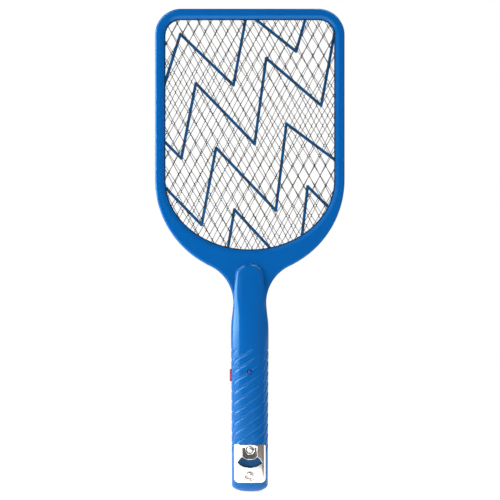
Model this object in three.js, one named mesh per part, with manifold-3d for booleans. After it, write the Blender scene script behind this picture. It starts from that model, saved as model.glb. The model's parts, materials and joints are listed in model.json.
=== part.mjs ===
// Electric fly swatter: two moulded shells clamp a pair of expanded-metal electrodes round a
// zigzag spacer; the handle holds two cells, the voltage multiplier, a side button and an
// opener plate. Millimetres, +Z from the handle end to the head tip, front face toward -Y.
import * as THREE from 'three';
import { mergeVertices } from 'three/addons/utils/BufferGeometryUtils.js';
import Module from 'manifold-3d';

const wasm = await Module();
wasm.setup();

// ---- head and neck outline -------------------------------------------------------------
const LENGTH = 500;
const HEAD_HALF_WIDTH = 98.25;
const HEAD_CORNER_R = 27;
const HEAD_ARC_Z = 322.6;
const NECK_HALF_WIDTH = 17.05;
const NECK_Z = 195.3;
const HEAD_HALF_DEPTH = 6.15;
const EDGE_BEVEL = 1;
const OPENING_HALF_WIDTH = 88.7;
const OPENING_TOP_Z = 489.6;
const OPENING_CORNER_R = 17;
const OPENING_DROP = 73.2;

// ---- handle ----------------------------------------------------------------------------
const SPLIT_GAP = 0.3;
const WALL = 2.2;
const SECTION_POWER = 2.5;
const SECTION_STEPS = 8;
const GROOVE_PITCH = 10.7;
const GROOVE_STARTS = 4;
const GROOVE_PHASE_Z = 6.3;
const GROOVE_DEPTH = 0.55;
const GRIP_FROM_Z = 38.4;
const GRIP_TO_Z = 147.5;
const STATIONS = [
  [0, 7.6, 6.6], [0.9, 10.6, 8.7], [2, 13.4, 10.8], [3.4, 16.2, 12.9], [5, 18.2, 14.5], [7.3, 19.15, 15.5],
  [45, 19.2, 15.5], [160, 19.45, 15.5], [171, 19.3, 15.5], [177, 18.9, 15.4], [185, 17.9, 15.1],
  [195, 17.05, 14.5], [203, 17, 13.6], [209, 16.8, 12.7], [215, 16.4, 11.7], [221, 15.6, 10.6],
  [226, 14.2, 9.5], [230.5, 11.2, 8.2], [234, 6.6, 6.8], [235.6, 2.6, 5.8],
];

// ---- electrodes and spacer ---------------------------------------------------------------
const RABBET_REACH = 3;
const RABBET_DEPTH = 3.2;
const SPACER_HALF_DEPTH = 2;
const SPACER_REACH = 2.7;
const SPACER_LIP = 1.2;
const RIB_WIDTH = 3;
const MESH_REACH = 2.5;
const MESH_RIM = 1;
const MESH_NEAR_Y = 2.3;
const MESH_THICKNESS = 0.6;
const CELL_SCALE = 1.5;
const CELL_WIDTH = 11.4 * CELL_SCALE;
const CELL_HEIGHT = 20.8 * CELL_SCALE;
const STRAND_WIDTH = 0.9;
const MESH_TILT_DEG = 2;
const ZIGZAGS = [
  [[-91, 414], [-72, 474], [-17, 421], [-4, 491]],
  [[4, 491], [48, 456], [58, 491]],
  [[-90, 364], [-71, 345], [-56, 423], [5, 360], [17, 449], [74, 400], [89, 481]],
  [[-89, 316], [-50, 276], [-35, 356], [27, 291], [38, 381], [89, 343]],
  [[-23, 250], [-16, 292], [22, 251]],
  [[54, 263], [60, 316], [81, 295]],
];

// ---- cap lifter plate --------------------------------------------------------------------
const OPENER_HALF_WIDTH = 16.4;
const OPENER_Z = [9.5, 48.7];
const OPENER_CORNER_R = 4.5;
const OPENER_THICKNESS = 1.2;
const FIT_GAP = 0.3;
const MOUTH_HALF_WIDTH = 12.9;
const MOUTH_MID_Z = 30.6;
const MOUTH_BOTTOM_Z = 25.2;
const MOUTH_TOP_Z = 35.7;
const LIP_HALF_WIDTH = 7.7;
const LIP_Z = [34.2, 36.4];
const CAP_POCKET = [-14, 14, -16, -7.5, 21, 38.5];
const OPENER_SCREW_Z = [43.6, 17];

// ---- electronics and cells ----------------------------------------------------------------
const BUTTON_Z = 120.2;
const BUTTON_SIZE = [8, 12.8];
const BUTTON_OUTER_X = -20.9;
const LED_Z = 124;
const BOARD = [-12.5, 12.5, -5, -3.4, 116, 191];
const CELL_RADIUS = 7.25;
const CELL_X = 7.6;
const CELL_Y = 1;
const CELL_BODY_LENGTH = 49.2;
const CELL_Z = [55.1, 105.3];
const CONTACT_Z = [50.5, 106.1];
const CONTACT_THICKNESS = 0.5;
const SPRING_LENGTH = 3.8;
const DOOR = [-15, 15, 50.6, 105.9];
const DOOR_GAP = 0.5;
const DOOR_THICKNESS = 2;
const HANDLE_SCREW_Z = [28, 112, 200];
const HEAD_SCREWS = [[50, 495.7], [94.6, 400], [64, 258.5], [25, 236]];

// Colour, roughness and metalness of each material.
const FINISHES = {
  blue_plastic: [0x0563b4, 0.25, 0],
  navy_plastic: [0x0b2f66, 0.4, 0],
  electrode: [0x5a524b, 0.45, 0.8],
  chrome: [0xd8d8d8, 0.12, 1],
  zinc: [0xa9adb0, 0.35, 1],
  red_plastic: [0xb0123a, 0.3, 0],
  black_plastic: [0x1c1c1e, 0.5, 0],
  led: [0xd23a2a, 0.1, 0],
  board: [0x2f6b34, 0.5, 0],
  ferrite: [0x2b2b2d, 0.7, 0],
  winding: [0xc9a227, 0.4, 0],
  film: [0x7c1f1a, 0.3, 0],
  resistor: [0xc8b088, 0.45, 0],
  cell: [0x33383d, 0.3, 0.2],
  wire_red: [0xb3261e, 0.5, 0],
  wire_black: [0x222224, 0.5, 0],
};

// ---- geometry helpers ---------------------------------------------------------------------
function solid(geometry) {
  const plain = new THREE.BufferGeometry();
  plain.setAttribute('position', geometry.getAttribute('position').clone());
  if (geometry.index) plain.setIndex(geometry.index.clone());
  const merged = mergeVertices(plain, 1e-4);
  const mesh = new wasm.Mesh({
    numProp: 3,
    vertProperties: new Float32Array(merged.getAttribute('position').array),
    triVerts: new Uint32Array(merged.index.array),
  });
  return new wasm.Manifold(mesh);
}

function joined(solids) {
  return solids.reduce((whole, piece) => whole.add(piece));
}

function geometryOf(body) {
  const mesh = body.getMesh();
  const geometry = new THREE.BufferGeometry();
  geometry.setAttribute('position', new THREE.BufferAttribute(mesh.vertProperties, 3));
  geometry.setIndex(new THREE.BufferAttribute(mesh.triVerts, 1));
  geometry.computeVertexNormals();
  return geometry;
}

function box([x0, x1, y0, y1, z0, z1]) {
  const geometry = new THREE.BoxGeometry(x1 - x0, y1 - y0, z1 - z0);
  return solid(geometry.translate((x0 + x1) / 2, (y0 + y1) / 2, (z0 + z1) / 2));
}

function shapeOf(points) {
  return new THREE.Shape(points.map(([x, z]) => new THREE.Vector2(x, z)));
}

// A face drawn in x and z, swept from y0 to y1.
function prism(points, y0, y1, holes = [], bevel = 0) {
  const shape = shapeOf(points);
  shape.holes = holes.map(shapeOf);
  const geometry = new THREE.ExtrudeGeometry(shape, {
    depth: y1 - y0 - 2 * bevel,
    bevelEnabled: bevel > 0,
    bevelThickness: bevel,
    bevelSize: bevel,
    bevelOffset: -bevel,
    bevelSegments: 1,
  });
  return solid(geometry.rotateX(Math.PI / 2).translate(0, y1 - bevel, 0));
}

// A face drawn in y and z, swept from x0 to x1.
function sidePrism(points, x0, x1, bevel = 0) {
  const geometry = new THREE.ExtrudeGeometry(shapeOf(points), {
    depth: x1 - x0 - 2 * bevel,
    bevelEnabled: bevel > 0,
    bevelThickness: bevel,
    bevelSize: bevel,
    bevelOffset: -bevel,
    bevelSegments: 1,
  });
  const turn = new THREE.Matrix4().makeBasis(
    new THREE.Vector3(0, 1, 0),
    new THREE.Vector3(0, 0, 1),
    new THREE.Vector3(1, 0, 0),
  );
  return solid(geometry.applyMatrix4(turn).translate(x0 + bevel, 0, 0));
}

function rod(x, z, radius, y0, y1, steps = 12) {
  const geometry = new THREE.CylinderGeometry(radius, radius, y1 - y0, steps);
  return solid(geometry.translate(x, (y0 + y1) / 2, z));
}

function turned(profile, steps = 10) {
  const points = profile.map(([r, h]) => new THREE.Vector2(r, h));
  return new THREE.LatheGeometry(points, steps);
}

function tube(points, radius, sides, steps) {
  const path = new THREE.CatmullRomCurve3(points.map((p) => new THREE.Vector3(...p)));
  const ring = Array.from({ length: sides }, (_, i) => {
    const angle = (2 * Math.PI * i) / sides;
    return [radius * Math.cos(angle), radius * Math.sin(angle)];
  });
  return solid(new THREE.ExtrudeGeometry(shapeOf(ring), { steps, extrudePath: path, bevelEnabled: false }));
}

function arc(cx, cz, rx, rz, fromDeg, toDeg, steps) {
  return Array.from({ length: steps + 1 }, (_, i) => {
    const angle = THREE.MathUtils.degToRad(fromDeg + ((toDeg - fromDeg) * i) / steps);
    return [cx + rx * Math.cos(angle), cz + rz * Math.sin(angle)];
  });
}

function mirrored(rightSide) {
  const leftSide = rightSide.map(([x, z]) => [-x, z]).reverse();
  return [...rightSide, ...leftSide];
}

function roundedRectangle(width, height, radius, cx, cz, steps = 3) {
  const dx = width / 2 - radius;
  const dz = height / 2 - radius;
  return [[1, 1, 0], [-1, 1, 90], [-1, -1, 180], [1, -1, 270]].flatMap(([sx, sz, start]) =>
    arc(cx + sx * dx, cz + sz * dz, radius, radius, start, start + 90, steps));
}

// ---- outlines -----------------------------------------------------------------------------
function headOutline() {
  const rise = HEAD_ARC_Z - NECK_Z;
  const filletR = (NECK_HALF_WIDTH ** 2 + rise ** 2 - HEAD_HALF_WIDTH ** 2)
    / (2 * (HEAD_HALF_WIDTH - NECK_HALF_WIDTH));
  const filletX = NECK_HALF_WIDTH + filletR;
  const tangentDeg = THREE.MathUtils.radToDeg(Math.atan2(rise, filletX));
  const cornerX = HEAD_HALF_WIDTH - HEAD_CORNER_R;
  const cornerZ = LENGTH - HEAD_CORNER_R;
  return mirrored([
    [NECK_HALF_WIDTH - 3, NECK_Z - 7],
    ...arc(filletX, NECK_Z, filletR, filletR, 180, 180 - tangentDeg, 6),
    ...arc(0, HEAD_ARC_Z, HEAD_HALF_WIDTH, HEAD_HALF_WIDTH, -tangentDeg, 0, 12).slice(1),
    ...arc(cornerX, cornerZ, HEAD_CORNER_R, HEAD_CORNER_R, 0, 90, 7),
  ]);
}

function openingOutline(reach) {
  const halfWidth = OPENING_HALF_WIDTH + reach;
  const radius = OPENING_CORNER_R + reach;
  const top = OPENING_TOP_Z + reach;
  return mirrored([
    ...arc(0, HEAD_ARC_Z, halfWidth, OPENING_DROP + reach, -90, 0, 14),
    ...arc(halfWidth - radius, top - radius, radius, radius, 0, 90, 6),
  ].slice(1)).concat([[0, HEAD_ARC_Z - OPENING_DROP - reach]]);
}

// ---- handle surface -----------------------------------------------------------------------
function station(z) {
  const after = STATIONS.findIndex(([height]) => height >= z - 1e-9);
  const upper = STATIONS[Math.max(after, 1)];
  const lower = STATIONS[Math.max(after, 1) - 1];
  const share = (z - lower[0]) / (upper[0] - lower[0]);
  return [lower[1] + share * (upper[1] - lower[1]), lower[2] + share * (upper[2] - lower[2])];
}

function grooveDepth(z, turn) {
  if (z <= GRIP_FROM_Z || z >= GRIP_TO_Z) return 0;
  const lead = GROOVE_PITCH * GROOVE_STARTS;
  const phase = (z - GROOVE_PHASE_Z + (lead * turn) / (2 * Math.PI)) / GROOVE_PITCH;
  const distance = Math.abs(phase - Math.round(phase)) * GROOVE_PITCH;
  return distance < 0.2 ? GROOVE_DEPTH : 0;
}

function handleRows() {
  const row = (GROOVE_PITCH * GROOVE_STARTS) / (2 * SECTION_STEPS);
  const first = GROOVE_PHASE_Z + row * Math.round((GRIP_FROM_Z - GROOVE_PHASE_Z) / row);
  const count = Math.round((GRIP_TO_Z - first) / row);
  const grip = Array.from({ length: count + 1 }, (_, i) => first + i * row);
  const plain = STATIONS.map(([z]) => z).filter((z) => z < grip[0] || z > grip[count]);
  return [...plain, ...grip].sort((a, b) => a - b);
}

function sectionRing(z, side, inset, edgeY, grooved) {
  const [halfWidth, halfDepth] = station(z);
  return Array.from({ length: SECTION_STEPS + 1 }, (_, i) => {
    const step = side < 0 ? SECTION_STEPS - i : i;
    const angle = (Math.PI * step) / SECTION_STEPS;
    const shave = inset + (grooved ? grooveDepth(z, -side * angle) : 0);
    const bulge = (value) => Math.sign(value) * Math.abs(value) ** (2 / SECTION_POWER);
    const x = (halfWidth - shave) * bulge(Math.cos(angle));
    const y = side * (halfDepth - shave) * bulge(Math.sin(angle));
    const atEdge = step === 0 || step === SECTION_STEPS;
    return new THREE.Vector3(x, atEdge ? edgeY : y, z);
  });
}

function loft(rings) {
  const width = rings[0].length;
  const positions = rings.flat().flatMap((p) => [p.x, p.y, p.z]);
  const faces = [];
  for (let r = 0; r + 1 < rings.length; r += 1) {
    for (let i = 0; i < width; i += 1) {
      const a = r * width + i;
      const b = r * width + ((i + 1) % width);
      faces.push(a, b, b + width, a, b + width, a + width);
    }
  }
  const top = (rings.length - 1) * width;
  for (let i = 1; i + 1 < width; i += 1) {
    faces.push(0, i + 1, i, top, top + i, top + i + 1);
  }
  const geometry = new THREE.BufferGeometry();
  geometry.setAttribute('position', new THREE.Float32BufferAttribute(positions, 3));
  geometry.setIndex(faces);
  return solid(geometry);
}

function handleSkin(side) {
  const edgeY = (side * SPLIT_GAP) / 2;
  return loft(handleRows().map((z) => sectionRing(z, side, 0, edgeY, true)));
}

// The handle shape without grooves, shrunk by inset and cut off at z0 and z1.
function handleCore(side, inset, z0, z1) {
  const between = STATIONS.map(([z]) => z).filter((z) => z > z0 + 0.5 && z < z1 - 0.5);
  return loft([z0, ...between, z1].map((z) => sectionRing(z, side, inset, -side, false)));
}

// ---- shells ---------------------------------------------------------------------------------
function headPlate(side) {
  const whole = prism(headOutline(), -HEAD_HALF_DEPTH, HEAD_HALF_DEPTH, [openingOutline(0)], EDGE_BEVEL);
  const inner = (side * SPLIT_GAP) / 2;
  const keep = side < 0 ? [-120, 120, -20, inner, 150, 520] : [-120, 120, inner, 20, 150, 520];
  return whole.intersect(box(keep));
}

function facing(side, nearY, farY) {
  return side < 0 ? [-farY, -nearY] : [nearY, farY];
}

function electrodeRabbet(side) {
  return prism(openingOutline(RABBET_REACH), ...facing(side, -1, RABBET_DEPTH));
}

function wireChannel(side) {
  return box([-6.5, 6.5, ...facing(side, -1, 4), 204, 248]);
}

function buttonAperture() {
  const [width, height] = BUTTON_SIZE;
  return sidePrism(roundedRectangle(width + 0.7, height + 0.8, 2.8, 0, BUTTON_Z), -24, -15);
}

function headScrewPlaces() {
  return HEAD_SCREWS.flatMap(([x, z]) => [[x, z], [-x, z]]);
}

function crossWall(z0, z1) {
  return box([-18, 18, -15, -SPLIT_GAP / 2, z0, z1]).intersect(handleCore(-1, WALL - 0.5, z0 - 1, z1 + 1));
}

function cradleRib(z) {
  const seats = joined([-CELL_X, CELL_X].map((x) => {
    const radius = CELL_RADIUS + 0.5;
    const geometry = turned([[0, z - 3], [radius, z - 3], [radius, z + 3], [0, z + 3]], 10);
    return solid(geometry.rotateX(Math.PI / 2).translate(x, CELL_Y, 0));
  }));
  return crossWall(z, z + 1.5).subtract(seats);
}

function openerOutline(grow) {
  const [bottom, top] = OPENER_Z;
  const radius = OPENER_CORNER_R + grow;
  const halfWidth = OPENER_HALF_WIDTH + grow;
  return mirrored([
    ...arc(halfWidth - radius, bottom - grow + radius, radius, radius, -90, 0, 5),
    ...arc(halfWidth - 1.5, top + grow - 1.5, 1.5, 1.5, 0, 90, 2),
  ]);
}

function mouthOutline() {
  const below = MOUTH_MID_Z - MOUTH_BOTTOM_Z;
  const above = MOUTH_TOP_Z - MOUTH_MID_Z;
  const lens = (rise, share) => MOUTH_MID_Z + rise * (1 - share * share);
  const steps = [-1, -0.75, -0.5, -0.25, 0, 0.25, 0.5, 0.75, 1];
  const lower = steps.map((s) => [s * MOUTH_HALF_WIDTH, lens(-below, s)]);
  const upper = steps.slice(1, -1).reverse().map((s) => [s * MOUTH_HALF_WIDTH, lens(above, s)]);
  return [...lower, ...upper];
}

function openerSeat() {
  const [bottom, top] = OPENER_Z;
  const skin = handleCore(-1, -2, bottom - 1, top + 1)
    .subtract(handleCore(-1, OPENER_THICKNESS + FIT_GAP, bottom - 2, top + 2));
  const dishes = OPENER_SCREW_Z.map((z) => rod(0, z, 5.2, -18, -12.4, 12));
  return joined([skin.intersect(prism(openerOutline(FIT_GAP), -20, -2)), ...dishes]);
}

function frontShell() {
  const skin = headPlate(-1).add(handleSkin(-1));
  const hollow = joined([
    handleCore(-1, WALL + 1.5, 3.5, 48.6),
    handleCore(-1, WALL, 50.2, 224),
    electrodeRabbet(-1),
    wireChannel(-1),
  ]);
  const inside = joined([
    box([-16.3, 16.3, -15, -5.5, 17, 41.5]),
    ...OPENER_SCREW_Z.map((z) => rod(0, z, 4, -14, -5.5)),
    crossWall(48.6, 50.2),
    crossWall(106.4, 108),
    cradleRib(62),
    cradleRib(94),
    ...HANDLE_SCREW_Z.map((z) => rod(0, z, 3.5, -14, -SPLIT_GAP / 2, 10)),
    ...[[-10, 119], [10, 119], [-9.5, 187], [9.5, 187]].map(([x, z]) => rod(x, z, 2, -14, -5.3, 6)),
  ]).intersect(handleCore(-1, 1, 3, 226));
  const holes = joined([
    openerSeat(),
    box(CAP_POCKET),
    ...OPENER_SCREW_Z.map((z) => rod(0, z, 1.9, -16, -6, 6)),
    rod(0, LED_Z, 2.95, -18, -11, 12),
    buttonAperture(),
    ...HANDLE_SCREW_Z.map((z) => rod(0, z, 1.6, -5.2, 1, 6)),
    ...headScrewPlaces().map(([x, z]) => rod(x, z, 1.45, -4.7, 1, 6)),
  ]);
  return skin.subtract(hollow).add(inside).subtract(holes);
}

function doorOpening() {
  const [x0, x1, z0, z1] = DOOR;
  return box([x0 - DOOR_GAP, x1 + DOOR_GAP, -1, 20, z0 - DOOR_GAP, z1 + DOOR_GAP]);
}

function rearShell() {
  const skin = headPlate(1).add(handleSkin(1));
  const hollow = joined([
    handleCore(1, WALL, 3.5, 224),
    electrodeRabbet(1),
    wireChannel(1),
  ]);
  const inside = joined(HANDLE_SCREW_Z.map((z) => rod(0, z, 4.4, SPLIT_GAP / 2, 15, 12)))
    .intersect(handleCore(1, 1, 3, 226));
  const holes = joined([
    doorOpening(),
    buttonAperture(),
    ...HANDLE_SCREW_Z.flatMap((z) => [rod(0, z, 3.05, 6.5, 20, 10), rod(0, z, 1.6, -1, 8, 6)]),
    ...headScrewPlaces().flatMap(([x, z]) => [rod(x, z, 2.4, 4.2, 9, 10), rod(x, z, 1.45, -1, 5, 6)]),
  ]);
  return skin.subtract(hollow).add(inside).subtract(holes);
}

// ---- battery door ---------------------------------------------------------------------------
function batteryDoor() {
  const [x0, x1, z0, z1] = DOOR;
  const outer = handleCore(1, 0, z0 - 2, z1 + 2);
  const cover = outer.subtract(handleCore(1, DOOR_THICKNESS, z0 - 3, z1 + 3));
  const fingerGrooves = [0, 1, 2].map((i) => box([-6, 6, 14.9, 17, 96 + 2.6 * i, 97.2 + 2.6 * i]));
  return cover.intersect(box([x0, x1, 5, 20, z0, z1])).subtract(joined(fingerGrooves));
}

// ---- electrodes and spacer --------------------------------------------------------------------
function ribPiece([x0, z0], [x1, z1]) {
  const length = Math.hypot(x1 - x0, z1 - z0);
  const dx = (x1 - x0) / length;
  const dz = (z1 - z0) / length;
  const reach = RIB_WIDTH / 2;
  const corner = (x, z, along, across) => [
    x + (dx * along - dz * across) * reach,
    z + (dz * along + dx * across) * reach,
  ];
  const face = [
    corner(x0, z0, -0.7, -1), corner(x1, z1, 0.7, -1),
    corner(x1, z1, 0.7, 1), corner(x0, z0, -0.7, 1),
  ];
  return prism(face, -SPACER_HALF_DEPTH, SPACER_HALF_DEPTH);
}

function spacerFrame() {
  const outer = openingOutline(SPACER_REACH);
  const ring = prism(outer, -SPACER_HALF_DEPTH, SPACER_HALF_DEPTH, [openingOutline(-SPACER_LIP)]);
  const ribs = ZIGZAGS.flatMap((line) => line.slice(1).map((point, i) => ribPiece(line[i], point)));
  const limit = prism(openingOutline(SPACER_REACH - 0.8), -SPACER_HALF_DEPTH, SPACER_HALF_DEPTH);
  return ring.add(joined(ribs).intersect(limit));
}

function cellCentres() {
  const columns = Math.ceil(100 / CELL_WIDTH);
  const rows = Math.ceil(140 / CELL_HEIGHT);
  const centres = [];
  for (let column = -columns; column <= columns; column += 1) {
    for (let row = -rows; row <= rows; row += 1) {
      centres.push([column * CELL_WIDTH, row * CELL_HEIGHT]);
      centres.push([(column + 0.5) * CELL_WIDTH, (row + 0.5) * CELL_HEIGHT]);
    }
  }
  return centres;
}

function insideOpening(x, z, margin) {
  const halfWidth = OPENING_HALF_WIDTH - margin;
  if (Math.abs(x) > halfWidth || z > OPENING_TOP_Z - margin) return false;
  const drop = HEAD_ARC_Z - z;
  return drop <= 0 || (x / halfWidth) ** 2 + (drop / (OPENING_DROP - margin)) ** 2 < 1;
}

function electrodeMesh(side, tiltDeg) {
  const middleZ = (OPENING_TOP_Z + HEAD_ARC_Z - OPENING_DROP) / 2;
  const halfPitch = Math.hypot(CELL_WIDTH, CELL_HEIGHT) / 2;
  const halfWidth = CELL_WIDTH / 2 - (STRAND_WIDTH * halfPitch) / CELL_HEIGHT;
  const halfHeight = CELL_HEIGHT / 2 - (STRAND_WIDTH * halfPitch) / CELL_WIDTH;
  const tilt = THREE.MathUtils.degToRad(tiltDeg);
  const [cos, sin] = [Math.cos(tilt), Math.sin(tilt)];
  const spun = ([x, z]) => [x * cos - z * sin, middleZ + x * sin + z * cos];
  const [y0, y1] = facing(side, MESH_NEAR_Y, MESH_NEAR_Y + MESH_THICKNESS);
  const inside = cellCentres().filter((centre) => insideOpening(...spun(centre), -CELL_WIDTH / 4));
  const diamonds = inside.map(([x, z]) => prism(
    [[x + halfWidth, z], [x, z + halfHeight], [x - halfWidth, z], [x, z - halfHeight]].map(spun),
    y0 - 1,
    y1 + 1,
  ));
  const window = prism(openingOutline(-MESH_RIM), y0 - 2, y1 + 2);
  return prism(openingOutline(MESH_REACH), y0, y1).subtract(joined(diamonds).intersect(window));
}

// ---- cap lifter and screws ----------------------------------------------------------------------
function bottleOpener() {
  const [bottom, top] = OPENER_Z;
  const skin = handleCore(-1, 0, bottom - 1, top + 1)
    .subtract(handleCore(-1, OPENER_THICKNESS, bottom - 2, top + 2));
  const plate = skin.intersect(prism(openerOutline(0), -20, -2));
  const cups = OPENER_SCREW_Z.map((z) => rod(0, z, 4.8, -14.9, -12.7, 12));
  const dishes = OPENER_SCREW_Z.map((z) => rod(0, z, 4, -17, -13.7, 12));
  const holes = OPENER_SCREW_Z.map((z) => rod(0, z, 1.9, -16, -11, 8));
  const lip = box([-LIP_HALF_WIDTH, LIP_HALF_WIDTH, -14.9, -12.2, ...LIP_Z]);
  const gaps = joined([prism(mouthOutline(), -20, -10), ...dishes, ...holes]);
  return joined([plate, ...cups]).subtract(gaps).add(lip);
}

function openerScrew(z) {
  const profile = [
    [0, -15.4], [1.6, -15.3], [2.7, -14.8], [3.2, -14], [1.45, -14], [1.45, -7.2], [0, -6.4],
  ];
  return solid(turned(profile).translate(0, 0, z));
}

function rearScrew(x, z, headRadius, shaftRadius, headY, tipY) {
  const profile = [
    [0, tipY], [shaftRadius, tipY + 0.6], [shaftRadius, headY],
    [headRadius, headY], [headRadius * 0.8, headY + 1.3], [0, headY + 1.5],
  ];
  return solid(turned(profile, 8).translate(x, 0, z));
}

// ---- switch and indicator -------------------------------------------------------------------------
function powerButton() {
  const [width, height] = BUTTON_SIZE;
  const cap = sidePrism(roundedRectangle(width, height, 2.5, 0, BUTTON_Z), BUTTON_OUTER_X, -15.5, 0.6);
  const flange = sidePrism(roundedRectangle(10.4, 15.2, 3, 0, BUTTON_Z), -15.9, -15.1);
  return cap.add(flange);
}

function alongX(radius, x0, x1, steps = 12) {
  const geometry = new THREE.CylinderGeometry(radius, radius, x1 - x0, steps);
  return solid(geometry.rotateZ(Math.PI / 2).translate((x0 + x1) / 2, 0, BUTTON_Z));
}

function switchBody() {
  return box([-13.2, -8.6, -3.1, 3.1, BUTTON_Z - 3.1, BUTTON_Z + 3.1]).subtract(alongX(2.1, -14, -9.9));
}

function indicatorLed() {
  const lens = turned([
    [0, -15.3], [1.2, -15], [2.1, -14.2], [2.5, -12.8], [2.5, -7.8], [2.9, -7.8], [2.9, -6.9], [0, -6.9],
  ], 14);
  const leads = [-1.27, 1.27].map((x) => box([x - 0.25, x + 0.25, -7.2, -5.3, LED_Z - 0.25, LED_Z + 0.25]));
  return joined([solid(lens.translate(0, 0, LED_Z)), ...leads]);
}

// ---- high-voltage board ------------------------------------------------------------------------------
function transformerCore() {
  const windows = [[-5.6, -2.3], [2.3, 5.6]].map(([x0, x1]) => box([x0, x1, -1, 8, 153.5, 162.5]));
  return box([-8, 8, 0.5, 6.5, 151, 165]).subtract(joined(windows));
}

function transformerWinding() {
  const coil = prism(roundedRectangle(10.6, 8.4, 0.8, 0, 158, 2), -2.8, 9.8);
  return coil.subtract(box([-2.6, 2.6, 0.2, 6.8, 140, 170]));
}

function axialPart(x, z0, bodyRadius, bodyLength) {
  const start = z0 + (14 - bodyLength) / 2;
  const end = start + bodyLength;
  const profile = [
    [0, z0], [0.35, z0], [0.35, start], [bodyRadius, start],
    [bodyRadius, end], [0.35, end], [0.35, z0 + 14], [0, z0 + 14],
  ];
  return solid(turned(profile, 8).rotateX(Math.PI / 2).translate(x, -1.55, 0));
}

function discCapacitor(z) {
  const profile = [[0, z - 1.7], [3, z - 1.7], [4, z - 0.9], [4, z + 0.9], [3, z + 1.7], [0, z + 1.7]];
  return solid(turned(profile, 12).rotateX(Math.PI / 2).translate(6.8, 1, 0));
}

function driverTransistor() {
  const leads = [-2.3, 0, 2.3].map((x) => box([7 + x - 0.35, 7 + x + 0.35, -1.6, -1.1, 132, 136.5]));
  return joined([box([3, 11, -3, 0.2, 136, 147]), ...leads]);
}

// ---- cells and contacts --------------------------------------------------------------------------------
function dryCell(x, upright) {
  const body = CELL_BODY_LENGTH;
  const profile = [
    [0, 0], [CELL_RADIUS - 0.5, 0], [CELL_RADIUS, 0.5],
    [CELL_RADIUS, body - 0.5], [CELL_RADIUS - 0.5, body],
    [2.7, body], [2.7, body + 1], [0, body + 1],
  ];
  const geometry = turned(profile, 18).rotateX(Math.PI / 2);
  if (!upright) geometry.rotateX(Math.PI);
  const base = upright ? CELL_Z[0] : CELL_Z[0] + body + 1 - SPRING_LENGTH + 0.2;
  return solid(geometry.translate(x, CELL_Y, base));
}

function contactSpring(x, fromZ, toZ) {
  const turns = 2.5;
  const steps = 25;
  const points = Array.from({ length: steps + 1 }, (_, i) => {
    const angle = (2 * Math.PI * turns * i) / steps;
    const radius = 4.6 - (1.4 * i) / steps;
    const z = fromZ + ((toZ - fromZ) * i) / steps;
    return [x + radius * Math.cos(angle), CELL_Y + radius * Math.sin(angle), z];
  });
  return tube(points, 0.4, 5, steps);
}

function contactPlate(x0, x1, z) {
  return box([x0, x1, CELL_Y - 6, CELL_Y + 6, z, z + CONTACT_THICKNESS]);
}

function bridgeContact() {
  const plate = contactPlate(-13, 13, CONTACT_Z[0]);
  const top = CONTACT_Z[0] + CONTACT_THICKNESS;
  return plate.add(contactSpring(-CELL_X, top + 0.1, top + SPRING_LENGTH - 0.45));
}

function springContact() {
  const bottom = CONTACT_Z[1] - CONTACT_THICKNESS;
  const spring = contactSpring(CELL_X, bottom - 0.1, bottom - SPRING_LENGTH + 0.45);
  return contactPlate(1, 13, bottom).add(spring);
}

function flatContact() {
  return contactPlate(-13, -1, CONTACT_Z[1] - CONTACT_THICKNESS);
}

// ---- wiring -----------------------------------------------------------------------------
function electrodeWire(side) {
  const x = 5 * side;
  const y = 2.4 * side;
  return tube([[x * 1.2, -2.3, 188.2], [x * 1.1, -1, 195], [x, y, 212], [x * 0.8, y, 246]], 0.7, 5, 8);
}

function batteryLead(side) {
  const x = 7 * side;
  return tube([[x, 3, 106.5], [x, 3, 109], [x * 1.1, 1, 113], [x * 1.2, -2.5, 117]], 0.6, 5, 6);
}

// ---- assembly ---------------------------------------------------------------------------
const swatter = new THREE.Group();
swatter.name = 'electric_fly_swatter';

function place(name, finish, body) {
  const [color, roughness, metalness] = FINISHES[finish];
  const material = new THREE.MeshStandardMaterial({ color, roughness, metalness });
  const mesh = new THREE.Mesh(geometryOf(body), material);
  mesh.name = name;
  swatter.add(mesh);
}

place('front_shell', 'blue_plastic', frontShell());
place('rear_shell', 'blue_plastic', rearShell());
place('battery_door', 'blue_plastic', batteryDoor());
place('spacer_frame', 'navy_plastic', spacerFrame());
place('front_mesh', 'electrode', electrodeMesh(-1, MESH_TILT_DEG));
place('rear_mesh', 'electrode', electrodeMesh(1, -MESH_TILT_DEG));
place('bottle_opener', 'chrome', bottleOpener());
OPENER_SCREW_Z.forEach((z, i) => place(`opener_screw_${i + 1}`, 'chrome', openerScrew(z)));
headScrewPlaces().forEach(([x, z], i) => {
  place(`head_screw_${i + 1}`, 'zinc', rearScrew(x, z, 2, 1, 4.5, -4.3));
});
HANDLE_SCREW_Z.forEach((z, i) => {
  place(`handle_screw_${i + 1}`, 'zinc', rearScrew(0, z, 2.6, 1.1, 6.8, -4.9));
});

place('power_button', 'red_plastic', powerButton());
place('switch_plunger', 'black_plastic', alongX(1.7, -14.9, -11.6));
place('switch_body', 'black_plastic', switchBody());
place('indicator_led', 'led', indicatorLed());
place('circuit_board', 'board', box(BOARD));
place('transformer_core', 'ferrite', transformerCore());
place('transformer_winding', 'winding', transformerWinding());
place('main_capacitor', 'film', prism(roundedRectangle(11.5, 16, 1.5, -6, 177.8, 2), -3.1, 4.5));
[172, 178, 184].forEach((z, i) => place(`multiplier_capacitor_${i + 1}`, 'film', discCapacitor(z)));
[-10.5, -6.5, -2.5].forEach((x, i) => {
  place(`multiplier_diode_${i + 1}`, 'black_plastic', axialPart(x, 133, 1.35, 6));
});
[3.5, 7.2, 10.9].forEach((x, i) => place(`resistor_${i + 1}`, 'resistor', axialPart(x, 117.5, 1.2, 6.4)));
place('driver_transistor', 'black_plastic', driverTransistor());

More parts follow.
